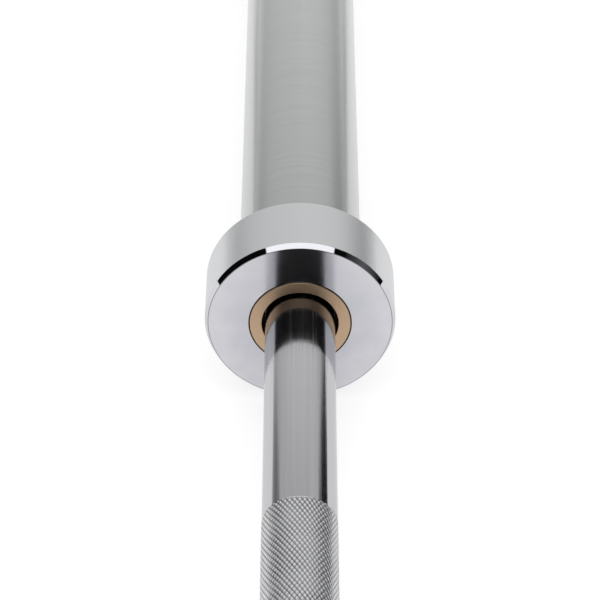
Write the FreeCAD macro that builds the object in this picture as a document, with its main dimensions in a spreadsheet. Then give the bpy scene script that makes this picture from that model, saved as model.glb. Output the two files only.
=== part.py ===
# Olympic barbell: a knurled steel shaft whose stepped ends turn inside two plate sleeves.
# Each sleeve is a thick tube set in a collar, runs on two flanged bronze bushings, is held by a
# snap ring on the shaft and is closed by an end cap. The bar lies along X, +Z is up, lengths in mm.
import FreeCAD
import Part
import Sketcher
import os

# Driving sizes. The stretches of the grip add up to 1310 mm between the collars, and the walls
# from the shaft outwards make a sleeve of 50 mm.
SIZES = {
    "grip_diameter": 28.0,
    "centre_knurl_length": 120.0,
    "inner_plain_length": 150.0,
    "inner_knurl_length": 245.0,
    "ring_mark_width": 5.0,
    "outer_knurl_length": 75.0,
    "outer_plain_length": 120.0,
    "knurl_height": 0.08,
    "knurl_end_bevel": 0.3,
    "grip_entry": 4.0,
    "grip_edge_bevel": 0.4,
    "shoulder_height": 1.5,
    "spindle_end_bevel": 1.0,
    "spindle_end_gap": 3.0,
    "collar_width": 30.0,
    "collar_height": 13.2,
    "collar_front_bevel_length": 2.4,
    "collar_front_bevel_height": 1.2,
    "collar_back_bevel": 0.4,
    "collar_web": 4.5,
    "collar_seat_bevel": 1.2,
    "sleeve_length": 415.0,
    "sleeve_end_wall": 4.5,
    "sleeve_end_bevel": 2.5,
    "sleeve_mouth_bevel": 0.5,
    "sleeve_seat_step": 1.0,
    "sleeve_seat_bevel": 0.5,
    "bushing_wall": 2.65,
    "bushing_length": 48.0,
    "bushing_lead": 0.6,
    "mouth_gap": 1.4,
    "flange_rim": 5.01,
    "flange_proud": 0.1,
    "flange_floor": 1.7,
    "flange_edge_bevel": 0.2,
    "flange_groove_width": 0.3,
    "flange_groove_depth": 1.2,
    "flange_groove_bevel": 0.25,
    "outer_flange_thickness": 3.0,
    "inner_washer_thickness": 1.5,
    "outer_washer_thickness": 2.0,
    "outer_washer_margin": 1.0,
    "shaft_ring_room": 7.0,
    "shaft_ring_thickness": 1.2,
    "shaft_ring_width": 3.6,
    "shaft_ring_offset": 0.7,
    "shaft_ring_gap": 4.0,
    "shaft_ring_eyelet": 2.3,
    "shaft_ring_eyelet_flat": 0.35,
    "shaft_ring_hole": 1.0,
    "shaft_groove_depth": 0.55,
    "shaft_groove_land": 4.0,
    "cap_ledge": 1.0,
    "cap_thickness": 8.0,
    "cap_edge_bevel": 0.5,
    "cap_rim_width": 7.0,
    "cap_dish_depth": 0.8,
    "seal_width": 2.0,
    "seal_height": 1.6,
    "cap_ring_thickness": 1.75,
    "cap_ring_width": 4.0,
    "cap_ring_offset": 0.8,
    "cap_ring_gap": 8.0,
    "cap_ring_eyelet": 2.6,
    "cap_ring_eyelet_flat": 0.4,
    "cap_ring_eyelet_margin": 1.5,
    "cap_ring_hole": 1.25,
    "cap_groove_depth": 1.25,
    "cap_groove_land": 3.0,
    "running_clearance": 0.05,
    "press_clearance": 0.01,
    "groove_clearance": 0.05,
    "axial_play": 0.3,
}

doc = FreeCAD.newDocument("olympic_barbell")
sheet = doc.addObject("Spreadsheet::Sheet", "Sizes")
for row, (alias, size) in enumerate(SIZES.items(), start=1):
    sheet.set("A%d" % row, alias)
    sheet.set("B%d" % row, str(size))
    sheet.setAlias("B%d" % row, alias)
doc.recompute()

# Places along the bar, measured outwards from its middle
CENTRE_KNURL = "(Sizes.centre_knurl_length / 2)"
KNURL_IN = "(%s + Sizes.inner_plain_length)" % CENTRE_KNURL
MARK_IN = "(%s + Sizes.inner_knurl_length)" % KNURL_IN
MARK_OUT = "(%s + Sizes.ring_mark_width)" % MARK_IN
KNURL_OUT = "(%s + Sizes.outer_knurl_length)" % MARK_OUT
COLLAR_FACE = "(%s + Sizes.outer_plain_length)" % KNURL_OUT
GRIP_END = "(%s + Sizes.grip_entry)" % COLLAR_FACE
INNER_WASHER_OUT = "(%s + Sizes.inner_washer_thickness)" % GRIP_END
MOUTH_FLOOR = "(%s + Sizes.axial_play)" % INNER_WASHER_OUT
FLANGE_FACE = "(%s - Sizes.flange_proud)" % COLLAR_FACE
FLANGE_GROOVE_FLOOR = "(%s + Sizes.flange_groove_depth)" % COLLAR_FACE
FLANGE_BACK = "(%s + Sizes.flange_floor)" % MOUTH_FLOOR
INNER_BUSHING_END = "(%s + Sizes.bushing_length)" % FLANGE_BACK
SLEEVE_START = "(%s + Sizes.collar_web)" % FLANGE_BACK
COLLAR_BACK = "(%s + Sizes.collar_width)" % COLLAR_FACE
SLEEVE_END = "(%s + Sizes.sleeve_length)" % COLLAR_BACK
CAP_RING_OUT = "(%s - Sizes.cap_groove_land - Sizes.groove_clearance)" % SLEEVE_END
CAP_FACE = "(%s - Sizes.cap_ring_thickness)" % CAP_RING_OUT
CAP_BACK = "(%s - Sizes.cap_thickness)" % CAP_FACE
SPINDLE_END = "(%s - Sizes.spindle_end_gap)" % CAP_BACK
SHAFT_RING_OUT = "(%s - Sizes.shaft_groove_land - Sizes.groove_clearance)" % SPINDLE_END
SHAFT_RING_IN = "(%s - Sizes.shaft_ring_thickness)" % SHAFT_RING_OUT
OUTER_WASHER_IN = "(%s - Sizes.outer_washer_thickness)" % SHAFT_RING_IN
OUTER_FLANGE_FACE = "(%s - Sizes.axial_play)" % OUTER_WASHER_IN
OUTER_SEAT = "(%s - Sizes.outer_flange_thickness)" % OUTER_FLANGE_FACE
OUTER_BUSHING_END = "(%s - Sizes.bushing_length)" % OUTER_SEAT

# Radii, from the shaft outwards
GRIP_R = "(Sizes.grip_diameter / 2)"
KNURL_R = "(%s + Sizes.knurl_height)" % GRIP_R
MOUTH_R = "(%s + Sizes.mouth_gap)" % GRIP_R
FLANGE_SEAT_R = "(%s + Sizes.flange_rim)" % MOUTH_R
FLANGE_R = "(%s - Sizes.press_clearance)" % FLANGE_SEAT_R
FLANGE_GROOVE_R = "(%s + Sizes.flange_groove_width)" % FLANGE_SEAT_R
SPINDLE_R = "(%s - Sizes.shoulder_height)" % GRIP_R
SHAFT_GROOVE_R = "(%s - Sizes.shaft_groove_depth)" % SPINDLE_R
RUNNING_R = "(%s + Sizes.running_clearance)" % SPINDLE_R
BORE_R = "(%s + Sizes.bushing_wall)" % RUNNING_R
BUSHING_R = "(%s - Sizes.press_clearance)" % BORE_R
OUTER_SEAT_R = "(%s + Sizes.shaft_ring_room)" % SPINDLE_R
CAP_SEAT_R = "(%s + Sizes.cap_ledge)" % OUTER_SEAT_R
CAP_R = "(%s - Sizes.press_clearance)" % CAP_SEAT_R
CAP_DISH_R = "(%s - Sizes.cap_rim_width)" % CAP_R
CAP_GROOVE_R = "(%s + Sizes.cap_groove_depth)" % CAP_SEAT_R
SLEEVE_R = "(%s + Sizes.sleeve_end_wall)" % CAP_SEAT_R
SLEEVE_SEAT_R = "(%s - Sizes.sleeve_seat_step)" % SLEEVE_R
COLLAR_SEAT_R = "(%s + Sizes.press_clearance)" % SLEEVE_SEAT_R
COLLAR_R = "(%s + Sizes.collar_height)" % SLEEVE_R

ON_AXIS = "0"
AT_MIDDLE = "0"
ROUGH_CENTRE = 100.0
ROUGH_RADIUS = 50.0
ACROSS_THE_BAR = FreeCAD.Rotation(FreeCAD.Vector(0, 1, 0), 90)
HALF_TURN = FreeCAD.Placement(FreeCAD.Vector(0, 0, 0), FreeCAD.Rotation(FreeCAD.Vector(0, 0, 1), 180))
AS_DRAWN = FreeCAD.Placement()
pieces = []


def origin_plane(body, role):
    """The body's own datum plane of the given role."""
    return next(plane for plane in body.Origin.OriginFeatures if plane.Role == role)


def turned_body(label, outline):
    """A body turned about X from a closed outline of (distance along X, radius) expressions."""
    body = doc.addObject("PartDesign::Body", label)
    sketch = body.newObject("Sketcher::SketchObject", label + "_outline")
    sketch.AttachmentSupport = [(origin_plane(body, "XY_Plane"), "")]
    sketch.MapMode = "FlatFace"
    count = len(outline)
    # Rough corners on a circle, which the bound sizes then move into place
    corners = [
        FreeCAD.Vector(ROUGH_CENTRE, ROUGH_CENTRE, 0)
        + FreeCAD.Rotation(FreeCAD.Vector(0, 0, 1), 360.0 * index / count).multVec(
            FreeCAD.Vector(ROUGH_RADIUS, 0, 0)
        )
        for index in range(count)
    ]
    for index in range(count):
        sketch.addGeometry(Part.LineSegment(corners[index], corners[(index + 1) % count]), False)
    for index in range(count):
        sketch.addConstraint(Sketcher.Constraint("Coincident", index, 2, (index + 1) % count, 1))
    for index, (along, radius) in enumerate(outline):
        if along == AT_MIDDLE:
            sketch.addConstraint(Sketcher.Constraint("PointOnObject", index, 1, -2))
        else:
            place = sketch.addConstraint(
                Sketcher.Constraint("DistanceX", -1, 1, index, 1, corners[index].x)
            )
            sketch.setExpression("Constraints[%d]" % place, along)
        if radius == ON_AXIS:
            sketch.addConstraint(Sketcher.Constraint("PointOnObject", index, 1, -1))
        else:
            place = sketch.addConstraint(
                Sketcher.Constraint("DistanceY", -1, 1, index, 1, corners[index].y)
            )
            sketch.setExpression("Constraints[%d]" % place, radius)
    turned = body.newObject("PartDesign::Revolution", label + "_turned")
    turned.Profile = sketch
    turned.ReferenceAxis = (sketch, ["H_Axis"])
    turned.Angle = 360.0
    body.Tip = turned
    return body


def keep(piece, placement):
    """Sets the piece at its end of the bar and lists it for the export."""
    piece.Placement = placement
    pieces.append(piece)


def disc(label, radius, thickness, along, across="0", up="0"):
    """A disc across the bar, its inner face at the given distance along it."""
    cylinder = doc.addObject("Part::Cylinder", label)
    cylinder.Placement = FreeCAD.Placement(FreeCAD.Vector(0, 0, 0), ACROSS_THE_BAR)
    cylinder.setExpression("Radius", radius)
    cylinder.setExpression("Height", thickness)
    cylinder.setExpression("Placement.Base.x", along)
    cylinder.setExpression("Placement.Base.y", across)
    cylinder.setExpression("Placement.Base.z", up)
    return cylinder


def slot(label, width, depth, thickness, along):
    """A block that opens a ring at its lowest point."""
    block = doc.addObject("Part::Box", label)
    block.setExpression("Length", thickness)
    block.setExpression("Width", width)
    block.setExpression("Height", depth)
    block.setExpression("Placement.Base.x", along)
    block.setExpression("Placement.Base.y", "-(%s) / 2" % width)
    block.setExpression("Placement.Base.z", "-(%s)" % depth)
    return block


def fused(label, shapes):
    """Several shapes joined into one."""
    union = doc.addObject("Part::MultiFuse", label)
    union.Shapes = shapes
    return union


def cut(label, base, tool):
    """One shape less another."""
    rest = doc.addObject("Part::Cut", label)
    rest.Base = base
    rest.Tool = tool
    return rest


# Shaft: a grip with knurled bands and ring marks, stepped down to a spindle at both ends
outline = [
    (AT_MIDDLE, ON_AXIS),
    (AT_MIDDLE, KNURL_R),
    ("%s - Sizes.knurl_end_bevel" % CENTRE_KNURL, KNURL_R),
    (CENTRE_KNURL, GRIP_R),
    (KNURL_IN, GRIP_R),
    ("%s + Sizes.knurl_end_bevel" % KNURL_IN, KNURL_R),
    ("%s - Sizes.knurl_end_bevel" % MARK_IN, KNURL_R),
    (MARK_IN, GRIP_R),
    (MARK_OUT, GRIP_R),
    ("%s + Sizes.knurl_end_bevel" % MARK_OUT, KNURL_R),
    ("%s - Sizes.knurl_end_bevel" % KNURL_OUT, KNURL_R),
    (KNURL_OUT, GRIP_R),
    ("%s - Sizes.grip_edge_bevel" % GRIP_END, GRIP_R),
    (GRIP_END, "%s - Sizes.grip_edge_bevel" % GRIP_R),
    (GRIP_END, SPINDLE_R),
    ("%s - Sizes.groove_clearance" % SHAFT_RING_IN, SPINDLE_R),
    ("%s - Sizes.groove_clearance" % SHAFT_RING_IN, SHAFT_GROOVE_R),
    ("%s + Sizes.groove_clearance" % SHAFT_RING_OUT, SHAFT_GROOVE_R),
    ("%s + Sizes.groove_clearance" % SHAFT_RING_OUT, SPINDLE_R),
    ("%s - Sizes.spindle_end_bevel" % SPINDLE_END, SPINDLE_R),
    (SPINDLE_END, "%s - Sizes.spindle_end_bevel" % SPINDLE_R),
    (SPINDLE_END, ON_AXIS),
]
shaft = turned_body("shaft", outline)
mirrored = shaft.newObject("PartDesign::Mirrored", "shaft_mirrored")
mirrored.Originals = [shaft.Tip]
mirrored.MirrorPlane = (origin_plane(shaft, "YZ_Plane"), [""])
shaft.Tip = mirrored
keep(shaft, AS_DRAWN)

# The same end pieces are drawn at the right end and turned half round for the left end
for side, placement in (("right", AS_DRAWN), ("left", HALF_TURN)):
    # Sleeve tube: its stepped end sits in the collar, the other is opened out for the end cap
    outline = [
        (SLEEVE_START, BORE_R),
        (SLEEVE_START, "%s - Sizes.sleeve_seat_bevel" % SLEEVE_SEAT_R),
        ("%s + Sizes.sleeve_seat_bevel" % SLEEVE_START, SLEEVE_SEAT_R),
        (COLLAR_BACK, SLEEVE_SEAT_R),
        (COLLAR_BACK, SLEEVE_R),
        ("%s - Sizes.sleeve_end_bevel" % SLEEVE_END, SLEEVE_R),
        (SLEEVE_END, "%s - Sizes.sleeve_end_bevel" % SLEEVE_R),
        (SLEEVE_END, "%s + Sizes.sleeve_mouth_bevel" % CAP_SEAT_R),
        ("%s - Sizes.sleeve_mouth_bevel" % SLEEVE_END, CAP_SEAT_R),
        ("%s + Sizes.groove_clearance" % CAP_RING_OUT, CAP_SEAT_R),
        ("%s + Sizes.groove_clearance" % CAP_RING_OUT, CAP_GROOVE_R),
        ("%s - Sizes.groove_clearance" % CAP_FACE, CAP_GROOVE_R),
        ("%s - Sizes.groove_clearance" % CAP_FACE, CAP_SEAT_R),
        (CAP_BACK, CAP_SEAT_R),
        (CAP_BACK, OUTER_SEAT_R),
        (OUTER_SEAT, OUTER_SEAT_R),
        (OUTER_SEAT, BORE_R),
    ]
    keep(turned_body(side + "_sleeve_tube", outline), placement)

    # Collar: recessed in front for the bushing's flange, with a fine groove left round the flange's
    # rim, and bored from behind for the sleeve tube
    outline = [
        (FLANGE_GROOVE_FLOOR, FLANGE_GROOVE_R),
        ("%s + Sizes.flange_groove_bevel" % COLLAR_FACE, FLANGE_GROOVE_R),
        (COLLAR_FACE, "%s + Sizes.flange_groove_bevel" % FLANGE_GROOVE_R),
        (COLLAR_FACE, "%s - Sizes.collar_front_bevel_height" % COLLAR_R),
        ("%s + Sizes.collar_front_bevel_length" % COLLAR_FACE, COLLAR_R),
        ("%s - Sizes.collar_back_bevel" % COLLAR_BACK, COLLAR_R),
        (COLLAR_BACK, "%s - Sizes.collar_back_bevel" % COLLAR_R),
        (COLLAR_BACK, "%s + Sizes.collar_seat_bevel" % COLLAR_SEAT_R),
        ("%s - Sizes.collar_seat_bevel" % COLLAR_BACK, COLLAR_SEAT_R),
        (SLEEVE_START, COLLAR_SEAT_R),
        (SLEEVE_START, BORE_R),
        (FLANGE_BACK, BORE_R),
        (FLANGE_BACK, FLANGE_SEAT_R),
        (FLANGE_GROOVE_FLOOR, FLANGE_SEAT_R),
    ]
    keep(turned_body(side + "_collar", outline), placement)

    # Inner bushing: a thick flange with a wide mouth where the grip enters, pressed into the tube
    outline = [
        (FLANGE_FACE, MOUTH_R),
        (FLANGE_FACE, "%s - Sizes.flange_edge_bevel" % FLANGE_R),
        ("%s + Sizes.flange_edge_bevel" % FLANGE_FACE, FLANGE_R),
        (FLANGE_BACK, FLANGE_R),
        (FLANGE_BACK, BUSHING_R),
        ("%s - Sizes.bushing_lead" % INNER_BUSHING_END, BUSHING_R),
        (INNER_BUSHING_END, "%s - Sizes.bushing_lead" % BUSHING_R),
        (INNER_BUSHING_END, RUNNING_R),
        (MOUTH_FLOOR, RUNNING_R),
        (MOUTH_FLOOR, MOUTH_R),
    ]
    keep(turned_body(side + "_inner_bushing", outline), placement)

    # Inner thrust washer: lies on the shoulder of the shaft inside the bushing's mouth
    outline = [
        (GRIP_END, RUNNING_R),
        (GRIP_END, GRIP_R),
        (INNER_WASHER_OUT, GRIP_R),
        (INNER_WASHER_OUT, RUNNING_R),
    ]
    keep(turned_body(side + "_inner_thrust_washer", outline), placement)

    # Outer bushing: its flange bears on the seat inside the tube
    outline = [
        (OUTER_FLANGE_FACE, RUNNING_R),
        (OUTER_FLANGE_FACE, "%s - Sizes.press_clearance" % OUTER_SEAT_R),
        (OUTER_SEAT, "%s - Sizes.press_clearance" % OUTER_SEAT_R),
        (OUTER_SEAT, BUSHING_R),
        ("%s + Sizes.bushing_lead" % OUTER_BUSHING_END, BUSHING_R),
        (OUTER_BUSHING_END, "%s - Sizes.bushing_lead" % BUSHING_R),
        (OUTER_BUSHING_END, RUNNING_R),
    ]
    keep(turned_body(side + "_outer_bushing", outline), placement)

    # Outer thrust washer: lies between the outer bushing and the snap ring on the shaft
    outline = [
        (OUTER_WASHER_IN, RUNNING_R),
        (OUTER_WASHER_IN, "%s - Sizes.outer_washer_margin" % OUTER_SEAT_R),
        (SHAFT_RING_IN, "%s - Sizes.outer_washer_margin" % OUTER_SEAT_R),
        (SHAFT_RING_IN, RUNNING_R),
    ]
    keep(turned_body(side + "_outer_thrust_washer", outline), placement)

    # Shaft snap ring: widest at the top, open at the bottom between two pierced eyelets
    name = side + "_shaft_snap_ring"
    thickness = "Sizes.shaft_ring_thickness"
    inside = "(%s + Sizes.press_clearance)" % SHAFT_GROOVE_R
    outside = "(%s + Sizes.shaft_ring_width - Sizes.shaft_ring_offset)" % inside
    eyelet_y = "(Sizes.shaft_ring_gap / 2 + Sizes.shaft_ring_eyelet - Sizes.shaft_ring_eyelet_flat)"
    eyelet_z = "-(%s + Sizes.shaft_ring_eyelet)" % inside
    blank = disc(name + "_blank", outside, thickness, SHAFT_RING_IN, up="Sizes.shaft_ring_offset")
    bore = disc(name + "_bore", inside, thickness, SHAFT_RING_IN)
    hoop = cut(name + "_hoop", blank, bore)
    eyelets = [disc(name + "_eyelet", "Sizes.shaft_ring_eyelet", thickness, SHAFT_RING_IN, y, eyelet_z)
               for y in (eyelet_y, "-" + eyelet_y)]
    holes = [disc(name + "_hole", "Sizes.shaft_ring_hole", thickness, SHAFT_RING_IN, y, eyelet_z)
             for y in (eyelet_y, "-" + eyelet_y)]
    gap = slot(name + "_gap", "Sizes.shaft_ring_gap", "2 * %s" % outside, thickness, SHAFT_RING_IN)
    ring = cut(name, fused(name + "_stock", [hoop] + eyelets), fused(name + "_openings", [gap] + holes))
    keep(ring, placement)

    # End cap: a dished disc on the ledge inside the tube, grooved round its edge for the seal
    groove_mid = "(%s + Sizes.cap_thickness / 2)" % CAP_BACK
    groove_half = "(Sizes.seal_width / 2 + Sizes.groove_clearance)"
    groove_floor = "(%s - Sizes.seal_height)" % CAP_R
    outline = [
        (CAP_BACK, ON_AXIS),
        (CAP_BACK, "%s - Sizes.cap_edge_bevel" % CAP_R),
        ("%s + Sizes.cap_edge_bevel" % CAP_BACK, CAP_R),
        ("%s - %s" % (groove_mid, groove_half), CAP_R),
        ("%s - %s" % (groove_mid, groove_half), groove_floor),
        ("%s + %s" % (groove_mid, groove_half), groove_floor),
        ("%s + %s" % (groove_mid, groove_half), CAP_R),
        (CAP_FACE, CAP_R),
        (CAP_FACE, CAP_DISH_R),
        ("%s - Sizes.cap_dish_depth" % CAP_FACE, "%s - Sizes.cap_dish_depth" % CAP_DISH_R),
        ("%s - Sizes.cap_dish_depth" % CAP_FACE, ON_AXIS),
    ]
    keep(turned_body(side + "_end_cap", outline), placement)

    # End cap seal: a square ring in the groove of the cap, which stops it from rattling
    outline = [
        ("%s - Sizes.seal_width / 2" % groove_mid, "%s + Sizes.press_clearance" % groove_floor),
        ("%s - Sizes.seal_width / 2" % groove_mid, CAP_R),
        ("%s + Sizes.seal_width / 2" % groove_mid, CAP_R),
        ("%s + Sizes.seal_width / 2" % groove_mid, "%s + Sizes.press_clearance" % groove_floor),
    ]
    keep(turned_body(side + "_end_cap_seal", outline), placement)

    # End cap snap ring: sprung into the groove of the tube, its eyelets point inwards
    name = side + "_end_cap_snap_ring"
    thickness = "Sizes.cap_ring_thickness"
    outside = "(%s - Sizes.press_clearance)" % CAP_GROOVE_R
    inside = "(%s - Sizes.cap_ring_width + Sizes.cap_ring_offset)" % outside
    eyelet_y = "(Sizes.cap_ring_gap / 2 + Sizes.cap_ring_eyelet - Sizes.cap_ring_eyelet_flat)"
    eyelet_z = "-(%s - Sizes.cap_ring_eyelet - Sizes.cap_ring_eyelet_margin)" % CAP_SEAT_R
    blank = disc(name + "_blank", outside, thickness, CAP_FACE)
    bore = disc(name + "_bore", inside, thickness, CAP_FACE, up="-Sizes.cap_ring_offset")
    hoop = cut(name + "_hoop", blank, bore)
    eyelets = [disc(name + "_eyelet", "Sizes.cap_ring_eyelet", thickness, CAP_FACE, y, eyelet_z)
               for y in (eyelet_y, "-" + eyelet_y)]
    holes = [disc(name + "_hole", "Sizes.cap_ring_hole", thickness, CAP_FACE, y, eyelet_z)
             for y in (eyelet_y, "-" + eyelet_y)]
    gap = slot(name + "_gap", "Sizes.cap_ring_gap", "2 * %s" % outside, thickness, CAP_FACE)
    ring = cut(name, fused(name + "_stock", [hoop] + eyelets), fused(name + "_openings", [gap] + holes))
    keep(ring, placement)

doc.recompute()

# Every feature must be sound and every piece one solid before any is written
for item in doc.Objects:
    if "Invalid" in item.State or "Error" in item.State:
        raise RuntimeError("%s did not build: %s" % (item.Label, item.State))
os.makedirs("parts", exist_ok=True)
for piece in pieces:
    shape = piece.Shape
    if shape.isNull() or not shape.isValid() or len(shape.Solids) != 1:
        raise RuntimeError("%s is not one sound solid" % piece.Label)
    print("%-28s %10.1f mm3" % (piece.Label, shape.Volume))
    shape.exportStep("parts/%s.step" % piece.Label)
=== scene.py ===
# An olympic barbell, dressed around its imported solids. The bar lies along X with +Z up, and all
# sizes below are millimetres from the middle of the bar, turned to metres where a mesh is made.
import math

import bpy
import numpy as np
from mathutils import Matrix


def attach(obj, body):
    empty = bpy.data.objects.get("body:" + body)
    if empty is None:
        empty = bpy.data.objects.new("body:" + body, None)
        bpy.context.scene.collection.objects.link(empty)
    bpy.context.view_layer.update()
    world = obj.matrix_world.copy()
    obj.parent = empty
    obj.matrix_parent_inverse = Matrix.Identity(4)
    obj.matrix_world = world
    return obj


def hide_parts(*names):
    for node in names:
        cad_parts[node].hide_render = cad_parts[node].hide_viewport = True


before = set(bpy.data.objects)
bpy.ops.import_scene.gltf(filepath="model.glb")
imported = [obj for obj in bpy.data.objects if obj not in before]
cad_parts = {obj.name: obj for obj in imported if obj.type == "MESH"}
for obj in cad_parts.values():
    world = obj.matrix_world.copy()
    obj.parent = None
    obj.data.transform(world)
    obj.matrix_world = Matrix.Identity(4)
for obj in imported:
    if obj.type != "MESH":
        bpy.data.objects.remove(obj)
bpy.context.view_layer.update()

# Shaft: one bar of spring steel, turned down to a spindle at both ends, centreless ground and hard
# chrome plated. The bands that carry the knurling are sunk a little, and the knurl sits in them.
MM = 0.001
GRIP_R = 14.0
CENTRE_KNURL_TO = 60.0
INNER_KNURL_FROM = 210.0
INNER_KNURL_TO = 455.0
OUTER_KNURL_FROM = 460.0
OUTER_KNURL_TO = 535.0
KNURL_BED_R = 13.45
SHOULDER = 659.0
SHOULDER_BEVEL = 0.4
SPINDLE_R = 12.5
SPINDLE_END = 1084.2
SPINDLE_BEVEL = 1.0
RING_GROOVE_FROM = 1078.9
RING_GROOVE_TO = 1080.2
RING_GROOVE_R = 11.95
SHAFT_SIDES = 144
SHARP = 0.04
BROKEN = 0.15

# Rows are (distance along X, radius, length of the broken edge)
HALF_SHAFT = np.array([
    (CENTRE_KNURL_TO, KNURL_BED_R, SHARP),
    (CENTRE_KNURL_TO, GRIP_R, SHARP),
    (INNER_KNURL_FROM, GRIP_R, SHARP),
    (INNER_KNURL_FROM, KNURL_BED_R, SHARP),
    (INNER_KNURL_TO, KNURL_BED_R, SHARP),
    (INNER_KNURL_TO, GRIP_R, SHARP),
    (OUTER_KNURL_FROM, GRIP_R, SHARP),
    (OUTER_KNURL_FROM, KNURL_BED_R, SHARP),
    (OUTER_KNURL_TO, KNURL_BED_R, SHARP),
    (OUTER_KNURL_TO, GRIP_R, SHARP),
    (SHOULDER - SHOULDER_BEVEL, GRIP_R, BROKEN),
    (SHOULDER, GRIP_R - SHOULDER_BEVEL, BROKEN),
    (SHOULDER, SPINDLE_R, BROKEN),
    (RING_GROOVE_FROM, SPINDLE_R, SHARP),
    (RING_GROOVE_FROM, RING_GROOVE_R, SHARP),
    (RING_GROOVE_TO, RING_GROOVE_R, SHARP),
    (RING_GROOVE_TO, SPINDLE_R, SHARP),
    (SPINDLE_END - SPINDLE_BEVEL, SPINDLE_R, BROKEN),
    (SPINDLE_END, SPINDLE_R - SPINDLE_BEVEL, BROKEN),
    (SPINDLE_END, 0.0, 0.0),
])
LEFTWARDS = np.array((-1.0, 1.0, 1.0))
SHAFT_OUTLINE = np.vstack((HALF_SHAFT[::-1] * LEFTWARDS, HALF_SHAFT))

# How far a broken edge reaches back along the side before it and on along the side after it
EDGE_STEPS = np.linspace(0.0, 1.0, 5)
EDGE_STRAIGHT = 1.6
EDGE_BACK = np.concatenate(([EDGE_STRAIGHT], (1 - EDGE_STEPS) ** 2, [0.0]))
EDGE_ON = EDGE_BACK[::-1]


def broken_edges(outline):
    """Each corner becomes a parabola between the points one edge length before and after it:
    corner + edge * ((1 - s)^2 * back + s^2 * on), with one more point on each straight side."""
    corner = outline[:, :2]
    edge = outline[:, 2]
    back = np.roll(corner, 1, axis=0) - corner
    on = np.roll(corner, -1, axis=0) - corner
    back = back / np.linalg.norm(back, axis=1, keepdims=True)
    on = on / np.linalg.norm(on, axis=1, keepdims=True)
    reach = EDGE_BACK[None, :, None] * back[:, None, :] + EDGE_ON[None, :, None] * on[:, None, :]
    return corner[:, None, :] + edge[:, None, None] * reach


def piece_of(name, points, faces, flat_faces=0):
    """A mesh object of points in millimetres, shaded smooth apart from its last flat_faces faces."""
    mesh = bpy.data.meshes.new(name)
    mesh.from_pydata(points * MM, [], faces)
    smooth = np.ones(len(faces), dtype=bool)
    smooth[len(faces) - flat_faces:] = False
    mesh.polygons.foreach_set("use_smooth", smooth)
    mesh.update()
    piece = bpy.data.objects.new(name, mesh)
    bpy.context.scene.collection.objects.link(piece)
    return piece


def turned(name, outline, sides, end=1):
    """The outline turned about X: (x, r, a) goes to (x, r cos a, r sin a). An outline that starts on
    the axis closes in two poles, any other in a ring. end -1 turns it half round Z to the left end."""
    solid = outline[0, 1] == 0.0
    rows = broken_edges(outline)
    rows = rows[1:-1] if solid else rows
    rows = rows.reshape(-1, 2)
    count = len(rows)
    angle = np.arange(sides) * (2 * np.pi / sides)
    along = np.repeat(rows[:, :1], sides, axis=1)
    points = np.stack((along, rows[:, 1:] * np.cos(angle), rows[:, 1:] * np.sin(angle)), axis=2)
    points = points.reshape(-1, 3)
    row = np.arange(count - 1 if solid else count)[:, None]
    side = np.arange(sides)[None, :]
    following = (row + 1) % count
    beside = (side + 1) % sides
    faces = np.stack((row * sides + side, row * sides + beside,
                      following * sides + beside, following * sides + side), axis=2)
    faces = faces.reshape(-1, 4).tolist()
    if solid:
        first, last = len(points), len(points) + 1
        points = np.vstack((points, (outline[0, 0], 0, 0), (outline[-1, 0], 0, 0)))
        spoke = np.arange(sides)
        rim = (count - 1) * sides
        hub = np.full(sides, first)
        faces += np.stack((hub, (spoke + 1) % sides, spoke), axis=1).tolist()
        hub = np.full(sides, last)
        faces += np.stack((hub, rim + spoke, rim + (spoke + 1) % sides), axis=1).tolist()
    points[:, :2] *= end
    return piece_of(name, points, faces)


def linear(code):
    """An sRGB hex code as linear red, green, blue and full alpha."""
    srgb = np.array([int(code[place:place + 2], 16) for place in (1, 3, 5)]) / 255
    low = srgb / 12.92
    high = ((srgb + 0.055) / 1.055) ** 2.4
    return (*np.where(srgb <= 0.04045, low, high), 1.0)


# A Mix node's sockets go by number, because their names repeat: its share, two numbers, two colours
SHARE = 0
NUMBER_A = 2
NUMBER_B = 3
COLOUR_A = 6
COLOUR_B = 7
MIXED_COLOUR = 2


def add(tree, kind, inputs=None, **settings):
    """One node: settings are its properties, inputs its values or the sockets that feed it."""
    node = tree.nodes.new(kind)
    for name, value in settings.items():
        setattr(node, name, value)
    for socket, value in (inputs or {}).items():
        if isinstance(value, bpy.types.NodeSocket):
            tree.links.new(value, node.inputs[socket])
        else:
            node.inputs[socket].default_value = value
    return node


def finish_named(name):
    """A new material with only its output, as (material, tree, output)."""
    material = bpy.data.materials.new(name)
    material.use_nodes = True
    tree = material.node_tree
    tree.nodes.clear()
    return material, tree, tree.nodes.new("ShaderNodeOutputMaterial")


# Hard chrome over ground steel: a cool mirror with very fine lines round the bar from the grinding
# wheel, which draw reflections out along the bar, faint lengthwise bands from the bar's drawing, and
# thin dull scuffs along it. Chromium reflects less than most metals at a glancing angle, which its
# edge colour stands for. A pattern's stretch turns metres to millimetres across its lines, and makes
# it many times longer along them.
GRIND_LINE = 0.5
GRIND_STRETCH = (1 / MM, 20.0, 20.0)
GRIND_HAZE = (0.07, 0.14)
GRIND_DEPTH = 0.01
GRIND_STRENGTH = 0.25
DRAWN_BAND = 4.0
DRAWN_STRETCH = (12.0, 1 / MM, 1 / MM)
SCUFF = 0.6
SCUFF_STRETCH = (5.0, 1 / MM, 1 / MM)
SCUFF_SHIFT = (0.0, 8.3, 5.1)
SCUFF_SPAN = (0.54, 0.78)
SCUFF_HAZE = 0.16
CHROME_EDGE = "#EDEDEE"
QUARTER_TURN = 0.25
ground_chrome, tree, output = finish_named("hard_chrome_ground")
place = add(tree, "ShaderNodeTexCoord")
grind = add(tree, "ShaderNodeMapping", {"Vector": place.outputs["Object"], "Scale": GRIND_STRETCH})
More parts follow.
